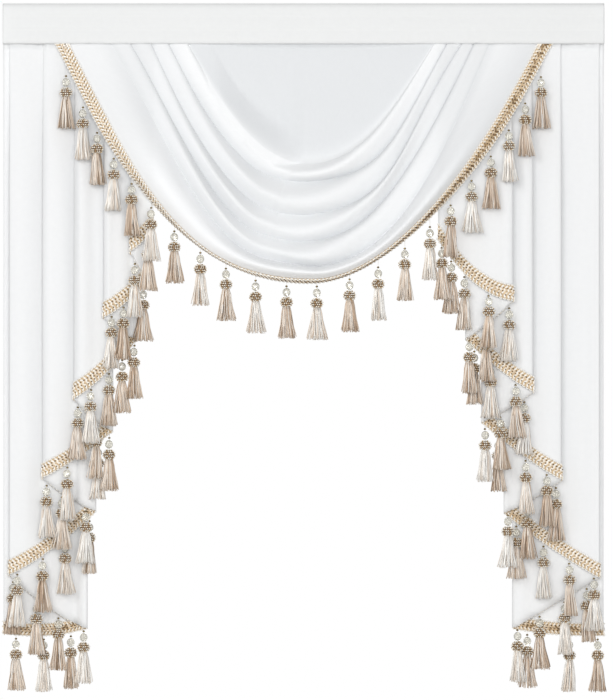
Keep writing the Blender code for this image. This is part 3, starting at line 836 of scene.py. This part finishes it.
# %% The shape of a tail
class Tail:
    """A tail's cloth. Its columns run along the zigzag, from the back layer to the front one."""

    # columns across a layer and round a fold
    SPAN, TURN = 22, 7
    # how wide the fold's edge is, how far each pleat falls back from it, and the share of that on
    # each side
    EDGES = {-1: 9 * MM, 1: 5 * MM}
    SETTLES = (1.5 * MM, 4.2 * MM, 5.6 * MM, 4.6 * MM, 5.0 * MM, 3.6 * MM)
    SETTLE_SHARES = {-1: 1.25, 1: 0.3}
    # fine waves of the cloth, and the gathers that fade out below the seam
    RIPPLE, RIPPLE_SPACING = 1.1 * MM, 43 * MM
    GATHER, GATHER_SPACING, GATHER_FADE = 1.0 * MM, 11.5 * MM, 17 * MM
    SETTLED_AT_SEAM, SETTLED_DROP, SWING = 0.3, 260 * MM, 0.2
    TOP_FORWARD, TOP_FADE = 12.5 * MM, 50 * MM

    def __init__(self, name, side, layers):
        self.name, self.side = name, side
        self.hem_out = np.array([row[0] for row in layers]) * MM
        self.hem_drop = np.array([row[1] for row in layers]) * MM
        self.sag = np.array([row[2] for row in layers]) * MM
        self.tassels = [row[3] for row in layers]
        self.layers = len(layers) - 1
        self.folds = np.append(self.hem_out[0::2][: (self.layers + 1) // 2], self.hem_out[-1])
        self.columns = self.make_columns()

    def corner_depth(self, k, side):
        """The depth of the hem's corner k, on its nearer (side 1) or farther (side -1) layer."""
        if k == 0:
            return 0.0
        inner = k % 2 == 1
        fold = INNER_FOLD if inner else OUTER_FOLD
        return PAIR_STEP * (k // 2) + (INNER_STEP if inner else 0.0) + side * fold / 2

    def at(self, k, out):
        """Columns of layer k as rows of (out, stacked depth, open depth, hem's drop, hem's slope,
        braid's painted shade)."""
        out = np.atleast_1d(out)
        share = (out - self.hem_out[k]) / (self.hem_out[k + 1] - self.hem_out[k])
        opened = mix(self.corner_depth(k, 1), self.corner_depth(k + 1, -1), share)
        fall = self.hem_drop[k + 1] - self.hem_drop[k]
        hem = self.hem_drop[k] + fall * share + 4 * self.sag[k] * share * (1 - share)
        slope = np.full_like(out, abs(fall / (self.hem_out[k + 1] - self.hem_out[k])))
        inward = share if k % 2 == 0 else 1 - share
        shade = np.full_like(out, DEEP_PAINTED_SHADE) if k == 0 else INWARD_PAINTED_SHADE * inward
        return np.stack([out, np.full_like(out, STACK_STEP * k), opened, hem, slope, shade], axis=1)

    def make_columns(self):
        columns = []
        for k in range(self.layers):
            inward = k % 2 == 0
            near, far = (OUTER_REACH, -INNER_REACH) if inward else (INNER_REACH, -OUTER_REACH)
            side = -1 if inward else 1
            start = self.hem_out[k] + side * (near if k else 0.0)
            end = self.hem_out[k + 1] + side * (far if k < self.layers - 1 else 0.0)
            columns.append(self.at(k, np.linspace(start, end, self.SPAN + 1)))
            if k < self.layers - 1:
                angle = math.pi * np.arange(1, self.TURN) / self.TURN
                share = ((1 - np.cos(angle)) / 2)[:, None]
                turn = mix(columns[-1][-1], self.at(k + 1, end)[0], share)
                turn[:, 0] = end - side * far * np.sin(angle)
                columns.append(turn)
        return np.concatenate(columns)

    def settle(self, out, drop):
        """How far the cloth falls back from the fold outside it. All layers share it, so they
        never cross."""
        settles = np.array(self.SETTLES) * self.SETTLE_SHARES[self.side]
        fallen = np.zeros(np.broadcast(out, drop).shape)
        for i, (outer, inner) in enumerate(zip(self.folds, self.folds[1:])):
            before = settles[max(i - 1, 0)] if i else 0.0
            share = (outer - out) / (outer - inner)
            edge = smooth((outer - out) / self.EDGES[self.side])
            inside = (out <= outer) & (out > inner)
            here = before * (1 - edge) + settles[i] * np.clip(share, 0, 1) ** 1.8 * edge
            fallen = np.where(inside, here, fallen)
        fallen = np.where(out <= self.folds[-1], settles[len(self.folds) - 2], fallen)
        opening = mix(self.SETTLED_AT_SEAM, 1.0, smooth((drop - SEAM_DROP) / self.SETTLED_DROP))
        swing = 1 + self.SWING * np.sin(drop * 9 + out * 30)
        ripple = np.sin(2 * math.pi * out / self.RIPPLE_SPACING + 1.3 * np.sin(out * 37) + drop * 1.7)
        fallen = fallen + self.RIPPLE * (1 + ripple)
        gather = np.sin(2 * math.pi * out / self.GATHER_SPACING + 2 * np.sin(out * 70))
        gather = self.GATHER * (1 + gather) * np.exp(-(drop - SEAM_DROP) / self.GATHER_FADE)
        return fallen * opening * swing + gather

    def place(self, columns, drop):
        """Points of columns, one for each, at a drop or an array of drops. Towards the side the
        cloth is pulled forward just below the seam, where it is sewn to the sleeve's front."""
        out, stack, opened = columns[:, 0], columns[:, 1], columns[:, 2]
        share = smooth((drop - SEAM_DROP) / (FULL_OPEN_DROP - SEAM_DROP))
        inward = (WIDTH / 2 - out) / (WIDTH / 4)
        y = TAIL_BACK + TAIL_LEAN * inward - mix(stack, opened, share) + self.settle(out, drop)
        pull = self.TOP_FORWARD * np.exp(-(drop - SEAM_DROP) / self.TOP_FADE)
        y = y - pull * np.clip(1 - inward, 0, 1)
        return np.stack(np.broadcast_arrays(self.side * out, y, -drop), axis=-1)

    def cloth_rows(self, count):
        shares = np.linspace(0, 1, count)[:, None]
        return self.place(self.columns, mix(SEAM_DROP, self.columns[:, 3], shares))

    def hem_faces(self):
        """The way that the cloth's face looks at each column of the hem, level with the floor."""
        hem = self.place(self.columns, self.columns[:, 3])
        run = np.gradient(hem[:, :2], axis=0)
        return unit(np.stack([-run[:, 1], run[:, 0], np.zeros(len(run))], axis=1) * self.side)

    def braid_edges(self, offset):
        """The braid's lower and upper edges, in front of the cloth's face at the hem, and how much
        painted shade its yarn gets: all along the back layer, and towards each other layer's inner end."""
        shift = self.hem_faces() * offset
        hem = self.columns[:, 3]
        height = BRAID_WIDTH * np.sqrt(1 + self.columns[:, 4] ** 2)
        edges = self.place(self.columns, hem) + shift, self.place(self.columns, hem - height) + shift
        return *edges, np.repeat(self.columns[:, 5:], 3, axis=1)


tails = [Tail("tail_left", -1, LEFT_LAYERS), Tail("tail_right", 1, RIGHT_LAYERS)]
print([len(tail.columns) for tail in tails], "columns of cloth")

# %% Tails
TAIL_ROWS = 64
for tail in tails:
    rows = tail.cloth_rows(TAIL_ROWS)
    cloth = add_sheet(tail.name + "_cloth", rows, cut_places(rows))
    thicken(cloth, VOILE)
    cloth.data.materials.append(voile)
    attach(cloth, "root")
    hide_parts(tail.name)
    tail.cloth, tail.area = cloth, sheet_area(rows)
    print(f"{cloth.name}: {triangles(cloth)} triangles, {tail.area:.3f} square metres of cloth")

# %% [markdown]
# The braid
#
# The braid is a band 20 mm wide. On a gold ground lie four rows of leaning stitches, with small dark
# knots between them, and a row of fat cream loops stands out along each edge. A texture would lie
# flat where the band turns round a pleat. So one stitch and one loop are modelled, and then
# repeated along the band every few millimetres. Not all the yarn is drawn alike: the right half of
# the swag's braid is a deeper gold, and a tail's braid gets painted shade where it runs back between
# layers.

# %% One stitch and one loop of the braid
deselect()
bpy.ops.mesh.primitive_uv_sphere_add(segments=8, ring_count=5, radius=1.0)
stitch = unit_mesh(bpy.context.object)

LOOP_REACH, LOOP_YARN = 1.9 * MM, 1.15 * MM


def half_ring(reach, yarn, steps, sides):
    """A loop of yarn that bows away from the braid's edge: half of a ring."""
    deselect()
    bpy.ops.mesh.primitive_torus_add(
        major_radius=reach, minor_radius=yarn, major_segments=2 * steps, minor_segments=sides
    )
    bpy.ops.object.mode_set(mode="EDIT")
    bpy.ops.mesh.select_all(action="SELECT")
    bpy.ops.mesh.bisect(plane_co=(0, 0, 0), plane_no=(0, 1, 0), clear_inner=True, use_fill=True)
    bpy.ops.object.mode_set(mode="OBJECT")
    return unit_mesh(bpy.context.object)


edge_loop = half_ring(LOOP_REACH, LOOP_YARN, 4, 4)
print(len(stitch[1]), "triangles in a stitch and", len(edge_loop[1]), "in a loop")

# %% A braid along any hem
STITCH_PITCH = 6.6 * MM
STITCH_SIZE, KNOT_SIZE = (3.4 * MM, 1.75 * MM, 1.5 * MM), (1.5 * MM, 1.3 * MM, 1.9 * MM)
STITCH_ROWS = (
    # share of the width from the lower edge, share of the pitch, lean in degrees, tone, its change
    (0.2, 0.0, 55, 0.92, 0.1), (0.4, 0.5, -50, 0.7, 0.24), (0.6, 0.0, 50, 0.7, 0.24),
    (0.8, 0.5, -55, 0.92, 0.1),
)
KNOT_ROWS = (
    (0.29, 0.75, 0, 0.02, 0.1), (0.5, 0.5, 0, 0.2, 0.15), (0.71, 0.25, 0, 0.02, 0.1),
)
EDGE_SHARES = (0.07, 0.93)
EDGE_TONE, EDGE_CHANGE, GROUND_TONE = 0.95, (-0.12, 0.1), 0.3
LEAN_CHANGE, LOOP_CHANGE = 6, (0.9, 1.1)
SWAG_SHADE, DEEPER_FROM, DEEPER_OVER = 0.45, -0.2, 0.35
EDGE_SHADE, OUTER_STITCH_SHADE, MIDDLE_REACH = 0.25, 0.7, 0.2


def resample(lines, spacing):
    """Several lines of points, cut again at an even spacing along the first."""
    first = lines[0]
    length = np.concatenate([[0.0], np.cumsum(np.linalg.norm(np.diff(first, axis=0), axis=1))])
    even = np.linspace(0.0, length[-1], max(int(round(length[-1] / spacing)), 2) + 1)
    return [np.stack([np.interp(even, length, line[:, i]) for i in range(3)], axis=1) for line in lines]


def hem_frames(lower, upper):
    """Along, across and out of the braid's face at each point of its lower edge."""
    along = unit(np.gradient((lower + upper) / 2, axis=0))
    out = unit(np.cross(along, upper - lower))
    return along, unit(np.cross(out, along)), out


print("a braid takes a stitch every", STITCH_PITCH * 1000, "mm")


# %% Braids
def make_braid(name, edges_at, seed):
    """A braid whose lower and upper edges edges_at gives for an offset from the cloth."""
    random = np.random.default_rng(seed)
    lower, upper, _ = resample(edges_at(BRAID_OFFSET), STITCH_PITCH / 2)
    band = np.stack([mix(upper, lower, share) for share in (0.0, 0.5, 1.0)])
    ground = add_sheet(name + "_ground", band, cut_places(band))
    thicken(ground, BRAID_GROUND)
    parts, tones = [unit_mesh(ground)], [GROUND_TONE]
    lower, upper, shade = resample(edges_at(STITCH_OFFSET), STITCH_PITCH)
    shade = shade[:, 0]
    along, across, out = hem_frames(lower, upper)
    for share, step, lean, tone, change in STITCH_ROWS + KNOT_ROWS:
        line = mix(lower, upper, share)
        places = mix(line[:-1], line[1:], step)
        angle = np.radians(lean + random.normal(0, LEAN_CHANGE, len(places)))[:, None]
        forth = along[:-1] * np.cos(angle) + across[:-1] * np.sin(angle)
        side = across[:-1] * np.cos(angle) - along[:-1] * np.sin(angle)
        size = STITCH_SIZE if lean else KNOT_SIZE
        turns = np.stack([forth, side, out[:-1]], axis=2) * np.array(size)
        parts.append(repeat(stitch, turns, places))
        # Stitches take the darkening that edges_at gives, the outer rows less of it: painted shade on the
        # tails, a deeper gold on the swag's right half.
        depth = shade[:-1] * (OUTER_STITCH_SHADE if abs(share - 0.5) > MIDDLE_REACH else 1.0)
        toned = tone + random.uniform(-change, change, len(places)) - depth
        tones.append(np.repeat(toned, len(stitch[0])))
    for share in EDGE_SHARES:
        places = mix(lower, upper, share)
        away = across * (1 if share > 0.5 else -1)
        turns = np.stack([along, away, out], axis=2) * random.uniform(*LOOP_CHANGE, (len(places), 1, 1))
        parts.append(repeat(edge_loop, turns, places))
        # The edge loops take a quarter of that darkening.
        toned = EDGE_TONE + random.uniform(*EDGE_CHANGE, len(places)) - EDGE_SHADE * shade
        tones.append(np.repeat(toned, len(edge_loop[0])))
    braid = add_mesh(name, parts, tones)
    braid.data.materials.append(braid_yarn)
    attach(braid, "root")
    print(f"{name}: {triangles(braid)} triangles")
    return braid


def swag_edges(offset):
    """The lower and upper edges of the swag's braid, in front of the strip along its hem, and how
    much darker its yarn is: darker from a little left of the middle to the right end."""
    middle = (band_line + hem_line) / 2
    out = unit(np.cross(np.gradient(middle, axis=0), hem_line - band_line))
    out = out * -np.sign(out[:, 1:2])
    shade = SWAG_SHADE * smooth((across - DEEPER_FROM) / DEEPER_OVER)
    return hem_line + out * offset, band_line + out * offset, np.repeat(shade[:, None], 3, axis=1)


braids = {"swag": make_braid("swag_braid", swag_edges, 1)}
for seed, tail in enumerate(tails, 2):
    braids[tail.name] = make_braid(tail.name + "_braid", tail.braid_edges, seed)

# %% [markdown]
# Where the tassels hang
#
# The solid tassels already hang clear of the cloth and of each other, so the real-looking ones hang
# on the same axes, and the swag's a little lower by their longer strings. A solid tassel ends in
# three locks, whose nine corners lie at one height. Nine corners at one height and close together
# are therefore a tassel, and their middle is its axis.

# %% Find the solid tassels
LOCK_END = 95 * MM
LOCK_CORNERS = 9
NEAR = 16 * MM


def find_tassels(node):
    """The axis and the root of each solid tassel, as (x, y, z of the root)."""
    corners = {tuple(round(c, 5) for c in v.co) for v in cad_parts[node].data.vertices}
    levels = {}
    for corner in corners:
        levels.setdefault(corner[2], []).append(corner)
    found = []
    for z, level in levels.items():
        level = np.array(sorted(level))
        for group in np.split(level, np.flatnonzero(np.diff(level[:, 0]) > NEAR) + 1):
            if len(group) == LOCK_CORNERS:
                found.append((group[:, 0].mean(), group[:, 1].mean(), z + LOCK_END))
    return np.array(found)


def match(found, x, z):
    """The found tassel nearest to a place on the hem."""
    return found[np.argmin(np.hypot(found[:, 0] - x, found[:, 2] - z))]


hanging = {}
for tail in tails:
    found = find_tassels(tail.name + "_trim")
    hanging[tail.name] = []
    for k, row in enumerate(tail.tassels):
        for out, yarn in row:
            column = tail.at(k, out * MM)
            root = tail.place(column, column[:, 3])[0]
            root[1] -= BRAID_OFFSET * (1 if k % 2 == 0 else -1)
            hanging[tail.name].append((root, match(found, root[0], root[2]), yarn, 0.0))
    print(tail.name, "has", len(found), "solid tassels and", len(hanging[tail.name]), "to tie")
found = find_tassels("swag_trim")
lower, _, _ = swag_edges(BRAID_OFFSET)
hanging["swag"] = []
for out, yarn in SWAG_TASSELS:
    root = np.array([out * MM] + [np.interp(out * MM, lower[:, 0], lower[:, i]) for i in (1, 2)])
    longer = np.interp(out, *zip(*LONGER_STRINGS)) * MM
    hanging["swag"].append((root, match(found, root[0], root[2]), yarn, longer))
print("swag has", len(found), "solid tassels and", len(hanging["swag"]), "to tie")
worst = max(abs(axis[0] - root[0]) for places in hanging.values() for root, axis, _, _ in places)
print(f"the widest miss is {worst * 1000:.1f} mm")

# %% [markdown]
# The tassels
#
# A tassel is threaded and tied. A fine string leaves the braid, takes a small brass bead and a
# crystal, and ends in a wooden knob bound with looped yarn, from which the skirt hangs. A skirt
# could be a fluted cone. Real ones open into single strands that never hang alike, so each strand
# here is its own thin tube, and every tassel draws its own. It draws a shade too, since the yarn of
# one tassel took more of the dye than the next.

# %% The hard parts of a tassel
BEAD_DROP, BEAD_RADIUS = 6.5 * MM, 2.1 * MM
CRYSTAL_DROP, CRYSTAL_RADIUS, CRYSTAL_HALF_HEIGHT = 16.5 * MM, 6.7 * MM, 7.2 * MM
KNOB_DROP, KNOB_RADIUS, KNOB_HALF_HEIGHT = 33.5 * MM, 10.2 * MM, 8.8 * MM
CORE_SHARE = 0.93
SLANT_END = 12 * MM
STRING_RADIUS, STRING_TONE, STRING_CHANGE = 0.4 * MM, 0.9, (0.97, 1.03)


def add_ball(segments, rings, size):
    """A ball of its own width and height, as points and triangles."""
    deselect()
    bpy.ops.mesh.primitive_uv_sphere_add(segments=segments, ring_count=rings, radius=1.0)
    bpy.ops.transform.resize(value=tuple(size))
    bpy.ops.object.transform_apply(location=False, rotation=False, scale=True)
    return unit_mesh(bpy.context.object)


bead = add_ball(8, 5, (BEAD_RADIUS, BEAD_RADIUS, BEAD_RADIUS * 0.85))
crystal_ball = add_ball(9, 7, (CRYSTAL_RADIUS, CRYSTAL_RADIUS, CRYSTAL_HALF_HEIGHT))
knob_core = add_ball(12, 8, np.array([KNOB_RADIUS, KNOB_RADIUS, KNOB_HALF_HEIGHT]) * CORE_SHARE)
print("a crystal has", len(crystal_ball[1]), "facets")

# %% The looped binding of a knob
BINDING_ROWS = (-62, -38, -13, 13, 38, 62)
BINDING_SPACING = 3.4 * MM
BINDING_STITCH = (2.1 * MM, 0.95 * MM, 1.0 * MM)
BINDING_LEAN = 42
BINDING_TONES, BINDING_CHANGE, CORE_TONE = (0.97, 0.5), 0.12, 0.08
deselect()
bpy.ops.mesh.primitive_uv_sphere_add(segments=5, ring_count=3, radius=1.0)
binding_stitch = unit_mesh(bpy.context.object)


def bound_knob(random):
    """A knob's binding as one part and its tones: rows of stitches that lean left and right in turn."""
    turns, places, tones = [], [], []
    for row, height in enumerate(BINDING_ROWS):
        level = math.radians(height)
        count = round(2 * math.pi * KNOB_RADIUS * math.cos(level) / BINDING_SPACING)
        start = random.uniform(0, 2 * math.pi)
        for i in range(count):
            angle = start + 2 * math.pi * i / count
            ahead = np.array([math.cos(angle), math.sin(angle), 0.0])
            out = ahead * math.cos(level) + np.array([0.0, 0.0, math.sin(level)])
            east = np.array([-math.sin(angle), math.cos(angle), 0.0])
            lean = math.radians(BINDING_LEAN if row % 2 else -BINDING_LEAN)
            along = east * math.cos(lean) + np.cross(out, east) * math.sin(lean)
            turns.append(np.stack([along, np.cross(out, along), out], axis=1) * np.array(BINDING_STITCH))
            places.append(out * (KNOB_RADIUS, KNOB_RADIUS, KNOB_HALF_HEIGHT))
            tones.append(BINDING_TONES[0] if (i + row) % 3 else BINDING_TONES[1])
    tones = np.array(tones) + random.uniform(-BINDING_CHANGE, BINDING_CHANGE, len(tones))
    stitches = repeat(binding_stitch, np.array(turns), np.array(places))
    return stitches, np.repeat(tones, len(binding_stitch[0]))


binding, _ = bound_knob(np.random.default_rng(7))
print("a knob is bound with", len(binding[1]), "triangles of yarn")

# %% The skirt
SKIRT_TOP, SKIRT_END = 39.5 * MM, 92 * MM
STRAND_RINGS = (
    # strands, share of the skirt's radius
    (32, 1.0), (24, 0.82), (12, 0.5),
)
STRAND_RADIUS = 1.05 * MM
STRAND_SIDES, STRAND_STEPS = 3, 6
YARN_TONES = {"C": 0.9, "T": 0.52}
DYE_CHANGE = (-0.12, 0.08)
SKIRT_SHAPE = (
    # share of the way down, radius
    (0.0, 5.0 * MM), (0.12, 6.9 * MM), (0.5, 9.4 * MM), (1.0, 14.0 * MM),
)
SKIRT_SPREAD, SKIRT_SWAY = (0.82, 1.12), 1.6 * MM
STRAND_SHIFT, STRAND_DRIFT = 0.35, 0.16
STRAND_REACH, STRAND_FLARE, STRAND_WAVE = (0.84, 1.08), (0.85, 1.15), 0.5 * MM
STRAND_LONGER = (-2.6 * MM, 2.0 * MM)
STRAND_CHANGE, INNER_STRANDS_SHADE, END_DARKER = 0.23, 0.12, 0.1
STRAND_TAPER = (0, 0.2, 1), (0.8, 1.0, 0.9)


def tubes(paths, radii):
    """Thin three-sided tubes along many paths that hang down. Paths are (tubes, steps, 3)."""
    count, steps, _ = paths.shape
    angle = 2 * math.pi * np.arange(STRAND_SIDES) / STRAND_SIDES
    ring = np.stack([np.cos(angle), np.sin(angle), np.zeros(STRAND_SIDES)], axis=1)
    points = paths[:, :, None, :] + ring * radii[:, :, None, None]
    faces = []
    for step in range(steps - 1):
        for i in range(STRAND_SIDES):
            j = (i + 1) % STRAND_SIDES
            top, low = step * STRAND_SIDES, (step + 1) * STRAND_SIDES
            faces += [(top + i, low + i, low + j), (top + i, low + j, top + j)]
    last = (steps - 1) * STRAND_SIDES
    faces += [(0, 1, 2), (last + 2, last + 1, last)]
    starts = np.arange(count)[:, None, None] * steps * STRAND_SIDES
    return points.reshape(-1, 3), (np.array(faces)[None] + starts).reshape(-1, 3)


def skirt(random, base):
    """One tassel's skirt and its tones, hanging from the axis at height 0. Base is its yarn's tone."""
    spread = random.uniform(*SKIRT_SPREAD)
    sway = random.uniform(-SKIRT_SWAY, SKIRT_SWAY, 2)
    steps = np.linspace(0, 1, STRAND_STEPS)
    shares, radii = zip(*SKIRT_SHAPE)
    opened = np.interp(steps, shares, radii)
    paths, tones = [], []
    for count, part in STRAND_RINGS:
        shift = random.uniform(-STRAND_SHIFT, STRAND_SHIFT, count)
        drift = random.normal(0, STRAND_DRIFT, count)
        reach = part * random.uniform(*STRAND_REACH, count)
        angle = (2 * math.pi * (np.arange(count) + shift) / count)[:, None] + drift[:, None] * steps
        flare = 1 + (spread * random.uniform(*STRAND_FLARE, count)[:, None] - 1) * steps
        radius = opened * reach[:, None] * flare
        bends, start = random.uniform(3, 8, count)[:, None], random.uniform(0, 6, count)[:, None]
        wave = STRAND_WAVE * np.sin(steps * bends + start)
        length = SKIRT_END - SKIRT_TOP + random.uniform(*STRAND_LONGER, count)
        x = np.cos(angle) * radius + wave + sway[0] * steps**2
        y = np.sin(angle) * radius - wave + sway[1] * steps**2
        z = -SKIRT_TOP - steps * length[:, None]
        paths.append(np.stack([x, y, z], axis=2))
        # The inner rings get painted shade: their tone is darker, where the outer strands shade them.
        tones.append(base + random.normal(0, STRAND_CHANGE, count) - INNER_STRANDS_SHADE * (1 - part))
    paths, tones = np.concatenate(paths), np.concatenate(tones)
    taper = np.interp(steps, *STRAND_TAPER) * STRAND_RADIUS
    ends = np.clip(tones[:, None] - END_DARKER * steps**3, 0, 1)
    tones = np.repeat(ends, STRAND_SIDES, axis=1).reshape(-1)
    return tubes(paths, np.broadcast_to(taper, paths.shape[:2])), tones


sample, _ = skirt(np.random.default_rng(5), YARN_TONES["T"])
print("a skirt has", sum(count for count, _ in STRAND_RINGS), "strands and", len(sample[1]), "triangles")


# %% Tie the tassels
def moved(shape, place, turn=0.0):
    """A part turned about the upright and moved to its place."""
    points, faces = shape
    spin = np.array([[math.cos(turn), -math.sin(turn), 0], [math.sin(turn), math.cos(turn), 0], [0, 0, 1]])
    return points @ spin.T + place, faces


def tie_tassels(name, places, seed):
    """All the tassels of one braid, as one piece each of strings, beads, crystals, knobs and
    skirts. Where a string is longer, its slanting part takes up the length."""
    random = np.random.default_rng(seed)
    strings, beads, crystals, knobs, skirts = [], [], [], [], []
    knob_tones, skirt_tones = [], []
    for root, axis, yarn, longer in places:
        long = random.uniform(*STRING_CHANGE)
        hang = np.array([axis[0], axis[1], root[2] - longer])
        turn = random.uniform(0, 2 * math.pi)
        dye = random.uniform(*DYE_CHANGE)
        knee = hang - (0, 0, SLANT_END)
        down = hang - (0, 0, KNOB_DROP * long)
        line = np.array([root + (0, 0, 1.0 * MM), mix(root, knee, 0.5), knee, down])
        strings.append(tubes(line[None], np.full((1, len(line)), STRING_RADIUS)))
        beads.append(moved(bead, mix(knee, root, (SLANT_END - BEAD_DROP) / (SLANT_END + longer))))
        crystals.append(moved(crystal_ball, hang - (0, 0, CRYSTAL_DROP * long), turn))
        stitches, tones = bound_knob(random)
        for shape, shape_tones in ((knob_core, CORE_TONE), (stitches, tones + dye)):
            knobs.append(moved(shape, down, turn))
            knob_tones.append(shape_tones)
        strands, tones = skirt(random, YARN_TONES[yarn] + dye)
        skirts.append(moved(strands, hang + (0, 0, (1 - long) * SKIRT_TOP)))
        skirt_tones.append(tones)
    made = [
        (add_mesh(name + "_strings", strings, [STRING_TONE] * len(strings)), skirt_yarn),
        (add_mesh(name + "_beads", beads), brass),
        (add_mesh(name + "_crystals", crystals, flat=True), crystal),
        (add_mesh(name + "_knobs", knobs, knob_tones), knob_yarn),
        (add_mesh(name + "_skirts", skirts, skirt_tones), skirt_yarn),
    ]
    for piece, material in made:
        piece.data.materials.append(material)
        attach(piece, "root")
    print(f"{name}: {sum(triangles(piece) for piece, _ in made)} triangles in {len(places)} tassels")
    return [piece for piece, _ in made]


tassels = {name: tie_tassels(name, places, seed) for seed, (name, places) in enumerate(hanging.items(), 11)}

# %% [markdown]
# Hide the solid trims
#
# The braids and tassels above take the place of the solid trims, which are hidden.

for name in hanging:
    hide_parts(name + "_trim")
